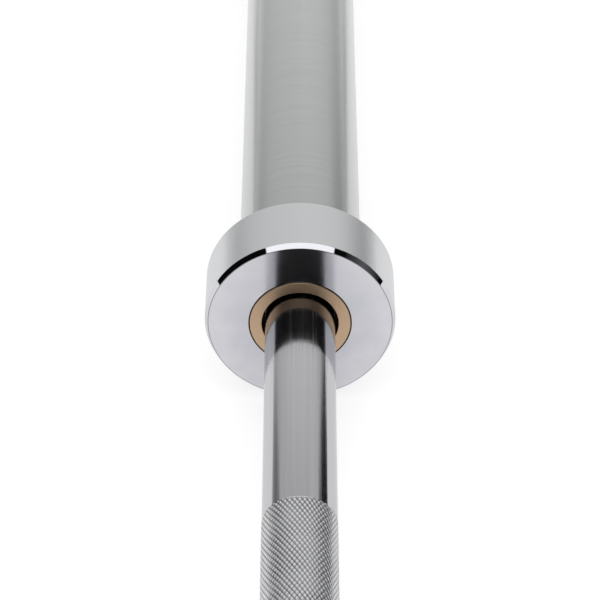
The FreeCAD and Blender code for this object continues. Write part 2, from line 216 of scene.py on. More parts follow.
lines = add(tree, "ShaderNodeTexNoise", {"Vector": grind.outputs[0], "Scale": 1 / GRIND_LINE,
                                         "Detail": 2.0})
draw = add(tree, "ShaderNodeMapping", {"Vector": place.outputs["Object"], "Scale": DRAWN_STRETCH})
bands = add(tree, "ShaderNodeTexNoise", {"Vector": draw.outputs[0], "Scale": 1 / DRAWN_BAND,
                                         "Detail": 3.0})
tone = add(tree, "ShaderNodeMix", {SHARE: bands.outputs["Fac"], COLOUR_A: linear("#B0B0B3"),
                                   COLOUR_B: linear("#C8C8CA")}, data_type="RGBA")
scuff = add(tree, "ShaderNodeMapping", {"Vector": place.outputs["Object"], "Location": SCUFF_SHIFT,
                                        "Scale": SCUFF_STRETCH})
scuffs = add(tree, "ShaderNodeTexNoise", {"Vector": scuff.outputs[0], "Scale": 1 / SCUFF,
                                          "Detail": 2.0})
scuffed = add(tree, "ShaderNodeMapRange", {"Value": scuffs.outputs["Fac"], "From Min": SCUFF_SPAN[0],
                                           "From Max": SCUFF_SPAN[1], "To Max": SCUFF_HAZE})
ground = add(tree, "ShaderNodeMapRange", {"Value": lines.outputs["Fac"], "To Min": GRIND_HAZE[0],
                                          "To Max": GRIND_HAZE[1]})
haze = add(tree, "ShaderNodeMath", {0: ground.outputs[0], 1: scuffed.outputs[0]}, operation="ADD")
relief = add(tree, "ShaderNodeBump", {"Height": lines.outputs["Fac"], "Strength": GRIND_STRENGTH,
                                      "Distance": GRIND_DEPTH * MM})
around = add(tree, "ShaderNodeTangent", direction_type="RADIAL", axis="X")
shader = add(tree, "ShaderNodeBsdfPrincipled", {
    "Base Color": tone.outputs[MIXED_COLOUR], "Metallic": 1.0, "Roughness": haze.outputs[0],
    "Anisotropic": 0.5, "Anisotropic Rotation": QUARTER_TURN, "Tangent": around.outputs[0],
    "Specular Tint": linear(CHROME_EDGE), "Normal": relief.outputs[0]})
tree.links.new(shader.outputs[0], output.inputs[0])

shaft = turned("shaft_bar", SHAFT_OUTLINE, SHAFT_SIDES)
shaft.data.materials.append(ground_chrome)
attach(shaft, "shaft")
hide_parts("shaft")

# Knurling: two sets of helical grooves rolled into the bar at 30 degrees to its length, sixteen to
# the inch, one set a little deeper. They leave rows of low, rounded diamonds between them.
KNURL_BANDS = ((-OUTER_KNURL_TO, -OUTER_KNURL_FROM), (-INNER_KNURL_TO, -INNER_KNURL_FROM),
               (-CENTRE_KNURL_TO, CENTRE_KNURL_TO),
               (INNER_KNURL_FROM, INNER_KNURL_TO), (OUTER_KNURL_FROM, OUTER_KNURL_TO))
KNURL_STARTS = 48
KNURL_PITCH = 3.174
KNURL_CREST_R = 14.08
KNURL_ROOT_R = 13.86
KNURL_CROSS_ROOT_R = 13.92
KNURL_END_R = 14.04
KNURL_CORE_R = 13.5
KNURL_END_GAP = 0.02

# Places of the groove and of the diamond's two edges, in thirds of the way from groove to groove
KNURL_STEPS = np.array((0.0, 0.8, 2.2))

# To each point round the band: two faces in both end rows, and one in each of three plain rings
KNURL_FLAT_FACES = 7


def knurl(name, start, stop):
    """Staggered rows of points round the bar, with three to a groove along both helices: one in the
    groove and two on the diamond's edges. The sum of both counts is the angle, their difference x."""
    steps = len(KNURL_STEPS)
    sides = steps * KNURL_STARTS
    rows = 2 * steps * round((stop - start) / KNURL_PITCH)
    row = np.arange(rows + 1)[:, None]
    side = np.arange(sides)[None, :]
    odd = row % 2
    right_hand = side + (odd + row) // 2
    left_hand = side + (odd - row) // 2
    right_place = steps * (right_hand // steps) + KNURL_STEPS[right_hand % steps]
    left_place = steps * (left_hand // steps) + KNURL_STEPS[left_hand % steps]
    radius = np.where(left_hand % steps == 0, KNURL_CROSS_ROOT_R, KNURL_CREST_R)
    radius = np.where(right_hand % steps == 0, KNURL_ROOT_R, radius)
    radius[[0, -1]] = KNURL_END_R
    angle = (right_place + left_place) * (np.pi / sides)
    along = start + (stop - start) * (right_place - left_place) / rows
    core = np.full((2, sides), KNURL_CORE_R)
    radius = np.vstack((radius, core))
    angle = np.vstack((angle, angle[:1], angle[:1]))
    along = np.vstack((along, along[-1:], along[:1]))
    points = np.stack((along, radius * np.cos(angle), radius * np.sin(angle)), axis=2).reshape(-1, 3)
    here = row[:-1] * sides + side
    beside = row[:-1] * sides + (side + 1) % sides
    on = here + sides
    on_beside = beside + sides
    even_row = np.broadcast_to(row[:-1] % 2 == 0, here.shape)
    first = np.where(even_row[..., None], np.stack((here, beside, on), axis=2),
                     np.stack((here, on_beside, on), axis=2))
    second = np.where(even_row[..., None], np.stack((on, beside, on_beside), axis=2),
                      np.stack((here, beside, on_beside), axis=2))
    ends = [0, -1]
    faces = np.vstack((first[1:-1].reshape(-1, 3), second[1:-1].reshape(-1, 3),
                       first[ends].reshape(-1, 3), second[ends].reshape(-1, 3))).tolist()
    ring = side[0]
    next_ring = (ring + 1) % sides
    for near, far in ((rows, rows + 1), (rows + 1, rows + 2), (rows + 2, 0)):
        faces += np.stack((near * sides + ring, near * sides + next_ring,
                           far * sides + next_ring, far * sides + ring), axis=1).tolist()
    return piece_of(name, points, faces, KNURL_FLAT_FACES * sides)


def from_axis(tree, place):
    """The distance of a point from the bar's axis: the length of its place with X taken out."""
    across = add(tree, "ShaderNodeVectorMath", {0: place.outputs["Object"], 1: (0, 1, 1)},
                 operation="MULTIPLY")
    radius = add(tree, "ShaderNodeVectorMath", {0: across.outputs[0]}, operation="LENGTH")
    return radius.outputs["Value"]


# Hard chrome on knurling: bright worn tops, and duller grooves whose colour is painted dark towards the
# roots, painted shade that is darker in some patches than in others.
KNURL_GRIT = 2.5
KNURL_WEAR = 0.1
KNURL_HAZE = (0.32, 0.24)
GROOVE_SHADE_PATCH = 12.0
GROOVE_SHADE_SPAN = (0.35, 0.65)
knurled_chrome, tree, output = finish_named("hard_chrome_knurled")
place = add(tree, "ShaderNodeTexCoord")
depth = add(tree, "ShaderNodeMapRange", {"Value": from_axis(tree, place),
                                         "From Min": KNURL_ROOT_R * MM, "From Max": KNURL_CREST_R * MM})
grit = add(tree, "ShaderNodeTexNoise", {"Vector": place.outputs["Object"],
                                        "Scale": 1 / (KNURL_GRIT * MM), "Detail": 3.0})
worn = add(tree, "ShaderNodeMath", {0: depth.outputs[0], 1: grit.outputs["Fac"], 2: KNURL_WEAR},
           operation="MULTIPLY_ADD")
patches = add(tree, "ShaderNodeTexNoise", {"Vector": place.outputs["Object"],
                                           "Scale": 1 / (GROOVE_SHADE_PATCH * MM), "Detail": 1.0})
patchy = add(tree, "ShaderNodeMapRange", {"Value": patches.outputs["Fac"], "From Min": GROOVE_SHADE_SPAN[0],
                                          "From Max": GROOVE_SHADE_SPAN[1]})
# Painted shade: the grooves are darkened by depth, more in some patches than in others.
groove_shade = add(tree, "ShaderNodeMix", {SHARE: patchy.outputs[0], COLOUR_A: linear("#3E3F41"),
                                   COLOUR_B: linear("#7C7D7F")}, data_type="RGBA")
tone = add(tree, "ShaderNodeMix", {SHARE: depth.outputs[0], COLOUR_A: groove_shade.outputs[MIXED_COLOUR],
                                   COLOUR_B: linear("#E8E8EA")}, data_type="RGBA")
haze = add(tree, "ShaderNodeMapRange", {"Value": worn.outputs[0], "To Min": KNURL_HAZE[0],
                                        "To Max": KNURL_HAZE[1]})
shader = add(tree, "ShaderNodeBsdfPrincipled", {
    "Base Color": tone.outputs[MIXED_COLOUR], "Metallic": 1.0, "Roughness": haze.outputs[0],
    "Specular Tint": linear(CHROME_EDGE)})
tree.links.new(shader.outputs[0], output.inputs[0])

for number, (start, stop) in enumerate(KNURL_BANDS, start=1):
    band = knurl("knurl_band_%d" % number, start + KNURL_END_GAP, stop - KNURL_END_GAP)
    band.data.materials.append(knurled_chrome)
    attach(band, "shaft")
    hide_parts("shaft")

# Sleeve tubes: thick steel tube, turned to 50 mm, with a stepped end for the collar and a mouth
# opened out for the end cap. Chrome plated over the turning marks.
ENDS = {"left": -1, "right": 1}
TUBE_R = 25.0
TUBE_BORE_R = 15.2
TUBE_STEP_R = 24.0
TUBE_START = 667.0
TUBE_START_BEVEL = 0.5
TUBE_END = 1100.0
TUBE_END_BEVEL = 2.5
TUBE_END_EDGE = 0.3
COLLAR_BACK = 685.0
MOUTH_R = 20.5
MOUTH_BEVEL = 0.5
CAP_GROOVE_FROM = 1095.15
CAP_GROOVE_TO = 1097.0
CAP_GROOVE_R = 21.75
CAP_LEDGE = 1087.2
BEARING_SEAT = 1073.65
BEARING_SEAT_R = 19.5
SLEEVE_SIDES = 192
SLEEVE_OUTLINE = np.array([
    (TUBE_START, TUBE_BORE_R, SHARP),
    (TUBE_START, TUBE_STEP_R - TUBE_START_BEVEL, BROKEN),
    (TUBE_START + TUBE_START_BEVEL, TUBE_STEP_R, BROKEN),
    (COLLAR_BACK, TUBE_STEP_R, BROKEN),
    (COLLAR_BACK, TUBE_R, BROKEN),
    (TUBE_END - TUBE_END_BEVEL, TUBE_R, TUBE_END_EDGE),
    (TUBE_END, TUBE_R - TUBE_END_BEVEL, TUBE_END_EDGE),
    (TUBE_END, MOUTH_R + MOUTH_BEVEL, BROKEN),
    (TUBE_END - MOUTH_BEVEL, MOUTH_R, BROKEN),
    (CAP_GROOVE_TO, MOUTH_R, BROKEN),
    (CAP_GROOVE_TO, CAP_GROOVE_R, BROKEN),
    (CAP_GROOVE_FROM, CAP_GROOVE_R, BROKEN),
    (CAP_GROOVE_FROM, MOUTH_R, BROKEN),
    (CAP_LEDGE, MOUTH_R, BROKEN),
    (CAP_LEDGE, BEARING_SEAT_R, BROKEN),
    (BEARING_SEAT, BEARING_SEAT_R, BROKEN),
    (BEARING_SEAT, TUBE_BORE_R, SHARP),
])


def lathe_place(tree, place, radius):
    """Where the lathe's tool stood for a point: its distance along X from the bar's middle, and a
    place made of x and the radius, the same all round the bar, for patterns that run round it."""
    along = add(tree, "ShaderNodeSeparateXYZ", {0: place.outputs["Object"]})
    outward = add(tree, "ShaderNodeMath", {0: along.outputs["X"]}, operation="ABSOLUTE")
    track = add(tree, "ShaderNodeCombineXYZ", {"X": along.outputs["X"], "Y": radius})
    return outward.outputs[0], track.outputs[0]


# Chrome over turned steel: the tool leaves lines round the tube that blur reflections along it.
# The real lines are a quarter of a millimetre apart, drawn coarser here so that they show.
TURNING_LINE = 2.0
LINE_SPAN = (0.3, 0.7)
LINE_TONE = (0.96, 1.0)
TURNED_HAZE = (0.2, 0.24)
# Painted shade: the tube's tone is darker next to the collar and lightens further out.
COLLAR_SHADE_FROM = COLLAR_BACK
COLLAR_SHADE_TO = 880.0
turned_chrome, tree, output = finish_named("chrome_over_turned_steel")
place = add(tree, "ShaderNodeTexCoord")
outward, track = lathe_place(tree, place, from_axis(tree, place))
lines = add(tree, "ShaderNodeTexNoise", {"Vector": track, "Scale": 1 / (TURNING_LINE * MM),
                                         "Detail": 0.0})
# Painted shade near the collar, fading out along the tube.
collar_shade_ramp = add(tree, "ShaderNodeMapRange", {"Value": outward, "From Min": COLLAR_SHADE_FROM * MM,
                                          "From Max": COLLAR_SHADE_TO * MM})
collar_shaded_tone = add(tree, "ShaderNodeMix", {SHARE: collar_shade_ramp.outputs[0], COLOUR_A: linear("#B6B7B7"),
                                     COLOUR_B: linear("#C6C7C7")}, data_type="RGBA")
line_tone = add(tree, "ShaderNodeMapRange", {"Value": lines.outputs["Fac"], "From Min": LINE_SPAN[0],
                                             "From Max": LINE_SPAN[1], "To Min": LINE_TONE[0],
                                             "To Max": LINE_TONE[1]})
tone = add(tree, "ShaderNodeVectorMath", {0: collar_shaded_tone.outputs[MIXED_COLOUR], 1: line_tone.outputs[0]},
           operation="MULTIPLY")
haze = add(tree, "ShaderNodeMapRange", {"Value": lines.outputs["Fac"], "To Min": TURNED_HAZE[0],
                                        "To Max": TURNED_HAZE[1]})
around = add(tree, "ShaderNodeTangent", direction_type="RADIAL", axis="X")
shader = add(tree, "ShaderNodeBsdfPrincipled", {
    "Base Color": tone.outputs[0], "Metallic": 1.0, "Roughness": haze.outputs[0],
    "Anisotropic": 0.7, "Anisotropic Rotation": QUARTER_TURN, "Tangent": around.outputs[0]})
tree.links.new(shader.outputs[0], output.inputs[0])

for name, end in ENDS.items():
    tube = turned(name + "_sleeve", SLEEVE_OUTLINE, SLEEVE_SIDES, end)
    tube.data.materials.append(turned_chrome)
    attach(tube, name + "_sleeve")
    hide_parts(name + "_sleeve_tube")

# Collars: steel rings shrunk on the stepped ends of the tubes, the stops that plates rest against.
# Turned, buffed and chrome plated, with a flat bevel round the front edge.
COLLAR_R = 38.2
COLLAR_FRONT = 655.0
FRONT_BEVEL_LENGTH = 2.4
FRONT_BEVEL_HEIGHT = 1.2
BACK_BEVEL = 0.4
SEAT_BEVEL = 1.2
FLANGE_R = 20.2
FLANGE_SEAT = 662.5
FLANGE_GROOVE_WIDTH = 0.3
FLANGE_GROOVE_DEPTH = 1.2
FLANGE_GROOVE_BEVEL = 0.25
SKIN_GAP = 0.01
CRISP = 0.06
COLLAR_SIDES = 256
FACE_OUT_R = COLLAR_R - FRONT_BEVEL_HEIGHT
FLANGE_HOLE_R = FLANGE_R + SKIN_GAP
GROOVE_R = FLANGE_HOLE_R + FLANGE_GROOVE_WIDTH
TUBE_SEAT_R = TUBE_STEP_R + SKIN_GAP
COLLAR_OUTLINE = np.array([
    (COLLAR_FRONT + FLANGE_GROOVE_DEPTH, GROOVE_R, SHARP),
    (COLLAR_FRONT + FLANGE_GROOVE_BEVEL, GROOVE_R, CRISP),
    (COLLAR_FRONT, GROOVE_R + FLANGE_GROOVE_BEVEL, CRISP),
    (COLLAR_FRONT, FACE_OUT_R, CRISP),
    (COLLAR_FRONT + FRONT_BEVEL_LENGTH, COLLAR_R, CRISP),
    (COLLAR_BACK - BACK_BEVEL, COLLAR_R, BROKEN),
    (COLLAR_BACK, COLLAR_R - BACK_BEVEL, BROKEN),
    (COLLAR_BACK, TUBE_SEAT_R + SEAT_BEVEL, BROKEN),
    (COLLAR_BACK - SEAT_BEVEL, TUBE_SEAT_R, BROKEN),
    (TUBE_START, TUBE_SEAT_R, SHARP),
    (TUBE_START, TUBE_BORE_R, SHARP),
    (FLANGE_SEAT, TUBE_BORE_R, SHARP),
    (FLANGE_SEAT, FLANGE_HOLE_R, SHARP),
    (COLLAR_FRONT + FLANGE_GROOVE_DEPTH, FLANGE_HOLE_R, SHARP),
])

# Buffed chrome: close to a mirror, with faint cloudy buffing and hair lines that follow the turning.
# The face is painted darker towards the bearing, painted shade mixed into the cloudy tone. A fine dark
# line of painted shade runs along the front edge, the rim is satin, and the groove round the bearing
# is painted near black, painted shade in the recess.
BUFF_CLOUD = 9.0
HAIR_LINE = 0.7
HAIR_DEPTH = 0.01
HAIR_STRENGTH = 0.1
FACE_IN_R = 20.0
FACE_CLOUDINESS = 0.6
FACE_HAZE = (0.11, 0.16)
EDGE_SHADE_R = 36.85
EDGE_SHADE_HALF = 0.2
COLLAR_GROOVE_SHADE_R = 20.62
COLLAR_GROOVE_SHADE_TO = 700.0
BEVEL_FROM = 655.05
BEVEL_TO = 655.15
BEVEL_HAZE = 0.03
SATIN_FROM_R = 38.1
SATIN_TO_R = 38.19
SATIN_HAZE = 0.27
polished_chrome, tree, output = finish_named("chrome_buffed")
place = add(tree, "ShaderNodeTexCoord")
radius = from_axis(tree, place)
outward, track = lathe_place(tree, place, radius)
clouds = add(tree, "ShaderNodeTexNoise", {"Vector": place.outputs["Object"],
                                          "Scale": 1 / (BUFF_CLOUD * MM), "Detail": 4.0})
lines = add(tree, "ShaderNodeTexNoise", {"Vector": track, "Scale": 1 / (HAIR_LINE * MM), "Detail": 2.0})
# Painted shade: the face's tone darkens towards the bearing, mixed with the cloudy buffing.
face_shade_ramp = add(tree, "ShaderNodeMapRange", {"Value": radius, "From Min": FACE_IN_R * MM,
                                               "From Max": FACE_OUT_R * MM})
buffing_and_shade = add(tree, "ShaderNodeMix", {SHARE: FACE_CLOUDINESS, NUMBER_A: face_shade_ramp.outputs[0],
                                     NUMBER_B: clouds.outputs["Fac"]})
tone = add(tree, "ShaderNodeMix", {SHARE: buffing_and_shade.outputs[0], COLOUR_A: linear("#B6B6BE"),
                                   COLOUR_B: linear("#D2D2D6")}, data_type="RGBA")
# Painted shade: a thin dark ring along the front edge of the face.
edge = add(tree, "ShaderNodeMath", {0: radius, 1: EDGE_SHADE_R * MM, 2: EDGE_SHADE_HALF * MM},
           operation="COMPARE")
edge_shaded = add(tree, "ShaderNodeMix", {SHARE: edge.outputs[0], COLOUR_A: tone.outputs[MIXED_COLOUR],
                                    COLOUR_B: linear("#97989C")}, data_type="RGBA")
# Painted shade: the groove and hole round the bearing are painted near black.
within = add(tree, "ShaderNodeMath", {0: radius, 1: COLLAR_GROOVE_SHADE_R * MM}, operation="LESS_THAN")
in_collar = add(tree, "ShaderNodeMath", {0: outward, 1: COLLAR_GROOVE_SHADE_TO * MM}, operation="LESS_THAN")
groove_shade_mask = add(tree, "ShaderNodeMath", {0: within.outputs[0], 1: in_collar.outputs[0]},
             operation="MULTIPLY")
recess_shade = add(tree, "ShaderNodeMix", {SHARE: groove_shade_mask.outputs[0], COLOUR_A: edge_shaded.outputs[MIXED_COLOUR],
                                    COLOUR_B: linear("#1E1A18")}, data_type="RGBA")
rim = add(tree, "ShaderNodeMapRange", {"Value": radius, "From Min": SATIN_FROM_R * MM,
                                       "From Max": SATIN_TO_R * MM})
plate = add(tree, "ShaderNodeMix", {SHARE: rim.outputs[0], COLOUR_A: recess_shade.outputs[MIXED_COLOUR],
                                    COLOUR_B: linear("#D1D2D3")}, data_type="RGBA")
behind_face = add(tree, "ShaderNodeMapRange", {"Value": outward, "From Min": BEVEL_FROM * MM,
                                               "From Max": BEVEL_TO * MM})
faced = add(tree, "ShaderNodeMapRange", {"Value": clouds.outputs["Fac"], "To Min": FACE_HAZE[0],
                                         "To Max": FACE_HAZE[1]})
mirror = add(tree, "ShaderNodeMix", {SHARE: behind_face.outputs[0], NUMBER_A: faced.outputs[0],
                                     NUMBER_B: BEVEL_HAZE})
haze = add(tree, "ShaderNodeMix", {SHARE: rim.outputs[0], NUMBER_A: mirror.outputs[0],
                                   NUMBER_B: SATIN_HAZE})
relief = add(tree, "ShaderNodeBump", {"Height": lines.outputs["Fac"], "Strength": HAIR_STRENGTH,
                                      "Distance": HAIR_DEPTH * MM})
shader = add(tree, "ShaderNodeBsdfPrincipled", {
    "Base Color": plate.outputs[MIXED_COLOUR], "Metallic": 1.0, "Roughness": haze.outputs[0],
    "Specular Tint": linear(CHROME_EDGE), "Normal": relief.outputs[0]})
tree.links.new(shader.outputs[0], output.inputs[0])

for name, end in ENDS.items():
    collar = turned(name + "_collar_ring", COLLAR_OUTLINE, COLLAR_SIDES, end)
    collar.data.materials.append(polished_chrome)
    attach(collar, name + "_sleeve")
    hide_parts(name + "_collar")

# Inner bushings: flanged bearings turned from cast bronze and pressed into collar and tube. The
# wide mouth of the flange clears the grip and shows as a ring round the bar. The outer bushings stay
# as the solids have them and are of the same bronze.
FLANGE_FRONT = 654.9
FLANGE_BEVEL = 0.2
FLANGE_MOUTH_R = 15.4
FLANGE_MOUTH_TO = 660.8
FLANGE_MOUTH_EDGE = 0.2
BUSHING_R = TUBE_BORE_R - SKIN_GAP
BUSHING_BORE_R = 12.55
BUSHING_END = 710.5
BUSHING_BEVEL = 0.6
BUSHING_SIDES = 192
BUSHING_OUTLINE = np.array([
    (FLANGE_FRONT, FLANGE_MOUTH_R, FLANGE_MOUTH_EDGE),
    (FLANGE_FRONT, FLANGE_R - FLANGE_BEVEL, CRISP),
    (FLANGE_FRONT + FLANGE_BEVEL, FLANGE_R, CRISP),
    (FLANGE_SEAT, FLANGE_R, SHARP),
    (FLANGE_SEAT, BUSHING_R, SHARP),
    (BUSHING_END - BUSHING_BEVEL, BUSHING_R, BROKEN),
    (BUSHING_END, BUSHING_R - BUSHING_BEVEL, BROKEN),
    (BUSHING_END, BUSHING_BORE_R, SHARP),
    (FLANGE_MOUTH_TO, BUSHING_BORE_R, SHARP),
    (FLANGE_MOUTH_TO, FLANGE_MOUTH_R, SHARP),
])

# Cast bronze, turned: warm brown metal, half dull from oil in its pores, with fine lines round the
# face. The deep mouth is painted dark, painted shade in the recess.
BRONZE_GRAIN = 0.6
BRONZE_HAZE = (0.4, 0.5)
FACE_LINE = 0.35
FACE_LINE_DEPTH = 0.02
FACE_LINE_STRENGTH = 0.3
MOUTH_SHADE_FROM = 655.1
MOUTH_SHADE_TO = 656.0
bronze, tree, output = finish_named("bronze_turned_oiled")
place = add(tree, "ShaderNodeTexCoord")
outward, track = lathe_place(tree, place, from_axis(tree, place))
grain = add(tree, "ShaderNodeTexNoise", {"Vector": place.outputs["Object"],
                                         "Scale": 1 / (BRONZE_GRAIN * MM), "Detail": 4.0})
lines = add(tree, "ShaderNodeTexNoise", {"Vector": track, "Scale": 1 / (FACE_LINE * MM), "Detail": 2.0})
tone = add(tree, "ShaderNodeMix", {SHARE: grain.outputs["Fac"], COLOUR_A: linear("#B49A80"),
                                   COLOUR_B: linear("#C8AD90")}, data_type="RGBA")
# Painted shade: the colour goes near black a little way into the mouth.
recess_shade = add(tree, "ShaderNodeMapRange", {"Value": outward, "From Min": MOUTH_SHADE_FROM * MM,
                                         "From Max": MOUTH_SHADE_TO * MM})
mouth_shaded = add(tree, "ShaderNodeMix", {SHARE: recess_shade.outputs[0], COLOUR_A: tone.outputs[MIXED_COLOUR],
                                    COLOUR_B: linear("#2A1F18")}, data_type="RGBA")
haze = add(tree, "ShaderNodeMapRange", {"Value": grain.outputs["Fac"], "To Min": BRONZE_HAZE[0],
                                        "To Max": BRONZE_HAZE[1]})
relief = add(tree, "ShaderNodeBump", {"Height": lines.outputs["Fac"], "Strength": FACE_LINE_STRENGTH,
                                      "Distance": FACE_LINE_DEPTH * MM})
shader = add(tree, "ShaderNodeBsdfPrincipled", {
    "Base Color": mouth_shaded.outputs[MIXED_COLOUR], "Metallic": 1.0, "Roughness": haze.outputs[0],
    "Normal": relief.outputs[0]})
tree.links.new(shader.outputs[0], output.inputs[0])

for name, end in ENDS.items():
    bushing = turned(name + "_flanged_bushing", BUSHING_OUTLINE, BUSHING_SIDES, end)
    bushing.data.materials.append(bronze)
    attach(bushing, name + "_sleeve")
    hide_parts(name + "_inner_bushing")
    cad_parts[name + "_outer_bushing"].data.materials[0] = bronze

# Thrust washers: stamped and ground steel rings, zinc plated, loose on the spindle at both ends of
# the bearing. They stay as the solids have them.

# Zinc plate: pale and half dull, with a fine spangle
ZINC_SPANGLE = 1.2
ZINC_HAZE = (0.3, 0.45)
washer_zinc, tree, output = finish_named("steel_zinc_plated")
place = add(tree, "ShaderNodeTexCoord")
spangle = add(tree, "ShaderNodeTexVoronoi", {"Vector": place.outputs["Object"],
                                             "Scale": 1 / (ZINC_SPANGLE * MM)})
tone = add(tree, "ShaderNodeMix", {SHARE: spangle.outputs["Distance"], COLOUR_A: linear("#B9BDC0"),
                                   COLOUR_B: linear("#A4A8AB")}, data_type="RGBA")
haze = add(tree, "ShaderNodeMapRange", {"Value": spangle.outputs["Distance"], "To Min": ZINC_HAZE[0],
                                        "To Max": ZINC_HAZE[1]})
shader = add(tree, "ShaderNodeBsdfPrincipled", {
    "Base Color": tone.outputs[MIXED_COLOUR], "Metallic": 1.0, "Roughness": haze.outputs[0]})
tree.links.new(shader.outputs[0], output.inputs[0])
for name in ENDS:
    for washer in ("_inner_thrust_washer", "_outer_thrust_washer"):
        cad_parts[name + washer].data.materials[0] = washer_zinc

# Snap rings: stamped from spring steel strip, hardened and phosphated dark. One sits in the groove
# of the spindle, one in the groove of the tube over the end cap.

# Phosphated spring steel: a dark grey, dull skin with a very fine grain
PHOSPHATE_GRAIN = 0.25
PHOSPHATE_HAZE = (0.35, 0.55)
PHOSPHATE_DEPTH = 0.02
PHOSPHATE_STRENGTH = 0.3
phosphated, tree, output = finish_named("spring_steel_phosphated")
place = add(tree, "ShaderNodeTexCoord")
grain = add(tree, "ShaderNodeTexNoise", {"Vector": place.outputs["Object"],
                                         "Scale": 1 / (PHOSPHATE_GRAIN * MM), "Detail": 4.0})
tone = add(tree, "ShaderNodeMix", {SHARE: grain.outputs["Fac"], COLOUR_A: linear("#3C3E41"),
                                   COLOUR_B: linear("#5A5C5F")}, data_type="RGBA")
haze = add(tree, "ShaderNodeMapRange", {"Value": grain.outputs["Fac"], "To Min": PHOSPHATE_HAZE[0],
                                        "To Max": PHOSPHATE_HAZE[1]})
relief = add(tree, "ShaderNodeBump", {"Height": grain.outputs["Fac"], "Strength": PHOSPHATE_STRENGTH,
                                      "Distance": PHOSPHATE_DEPTH * MM})
shader = add(tree, "ShaderNodeBsdfPrincipled", {
    "Base Color": tone.outputs[MIXED_COLOUR], "Metallic": 1.0, "Roughness": haze.outputs[0],
    "Normal": relief.outputs[0]})
tree.links.new(shader.outputs[0], output.inputs[0])
for name in ENDS:
    for ring in ("_shaft_snap_ring", "_end_cap_snap_ring"):
        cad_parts[name + ring].data.materials[0] = phosphated

# End caps: dished steel discs, turned, buffed and chrome plated like the collars. Each lies on a
# ledge in the mouth of its tube and is held there by the snap ring.
CAP_R = MOUTH_R - SKIN_GAP
CAP_BEVEL = 0.5
CAP_FRONT = 1095.2
SEAL_GROOVE_FROM = 1090.15
SEAL_GROOVE_TO = 1092.25
SEAL_GROOVE_R = 18.89
DISH_R = 13.49
DISH_DEPTH = 0.8
DISH_EDGE = 0.3
CAP_SIDES = 192
CAP_OUTLINE = np.array([
    (CAP_LEDGE, 0.0, 0.0),
    (CAP_LEDGE, CAP_R - CAP_BEVEL, BROKEN),
    (CAP_LEDGE + CAP_BEVEL, CAP_R, BROKEN),
    (SEAL_GROOVE_FROM, CAP_R, BROKEN),
    (SEAL_GROOVE_FROM, SEAL_GROOVE_R, BROKEN),
    (SEAL_GROOVE_TO, SEAL_GROOVE_R, BROKEN),
    (SEAL_GROOVE_TO, CAP_R, BROKEN),
    (CAP_FRONT, CAP_R, BROKEN),
    (CAP_FRONT, DISH_R, DISH_EDGE),
    (CAP_FRONT - DISH_DEPTH, DISH_R - DISH_DEPTH, DISH_EDGE),
    (CAP_FRONT - DISH_DEPTH, 0.0, 0.0),
])
for name, end in ENDS.items():
    cap = turned(name + "_dished_cap", CAP_OUTLINE, CAP_SIDES, end)
    cap.data.materials.append(polished_chrome)
    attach(cap, name + "_sleeve")
    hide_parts(name + "_end_cap")

# End cap seals: square rings of nitrile rubber in the edge of the caps, which keep them from
# rattling. Moulded, with a fine dull grain.
RUBBER_GRAIN = 0.4
RUBBER_HAZE = (0.6, 0.8)
nitrile, tree, output = finish_named("nitrile_rubber_moulded")
place = add(tree, "ShaderNodeTexCoord")
grain = add(tree, "ShaderNodeTexNoise", {"Vector": place.outputs["Object"],
                                         "Scale": 1 / (RUBBER_GRAIN * MM), "Detail": 3.0})
tone = add(tree, "ShaderNodeMix", {SHARE: grain.outputs["Fac"], COLOUR_A: linear("#19191A"),
                                   COLOUR_B: linear("#252526")}, data_type="RGBA")
haze = add(tree, "ShaderNodeMapRange", {"Value": grain.outputs["Fac"], "To Min": RUBBER_HAZE[0],
                                        "To Max": RUBBER_HAZE[1]})
shader = add(tree, "ShaderNodeBsdfPrincipled", {
    "Base Color": tone.outputs[MIXED_COLOUR], "Roughness": haze.outputs[0]})
tree.links.new(shader.outputs[0], output.inputs[0])
for name in ENDS:
    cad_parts[name + "_end_cap_seal"].data.materials[0] = nitrile

# Floor: a plain pale sheet under the collars. It keeps the bar's shadow, and a share of white seen
# by the camera and by the metal brings it up to the white of the backdrop.
FLOOR_Z = -COLLAR_R
FLOOR_HALF = 30000.0
FLOOR_GLOW = 0.635
pale_floor, tree, output = finish_named("floor_pale")
sight = add(tree, "ShaderNodeLightPath")
direct = add(tree, "ShaderNodeMath", {0: sight.outputs["Is Camera Ray"],
                                      1: sight.outputs["Is Glossy Ray"]}, operation="ADD")
seen = add(tree, "ShaderNodeMath", {0: direct.outputs[0],
                                    1: sight.outputs["Is Transmission Ray"]}, operation="ADD")
share = add(tree, "ShaderNodeMath", {0: seen.outputs[0], 1: FLOOR_GLOW}, operation="MULTIPLY")
matt = add(tree, "ShaderNodeBsdfDiffuse", {"Color": linear("#BCBCBC")})
glow = add(tree, "ShaderNodeEmission", {"Strength": share.outputs[0]})
both = add(tree, "ShaderNodeAddShader", {0: matt.outputs[0], 1: glow.outputs[0]})
tree.links.new(both.outputs[0], output.inputs[0])
floor = piece_of("floor", FLOOR_HALF * np.array([(-1, -1, 0), (1, -1, 0), (1, 1, 0), (-1, 1, 0)])
                 + np.array((0, 0, FLOOR_Z)), [(0, 1, 2, 3)])
floor.data.materials.append(pale_floor)

# Studio: a white backdrop under a pale sky that is brightest straight ahead along the bar, one soft
# box over the camera, and dark cloth round the camera and in two strips ahead of it, which gives the
# chrome its dark bands.
BACKDROP_FROM = 0.1
BACKDROP_TO = 0.3

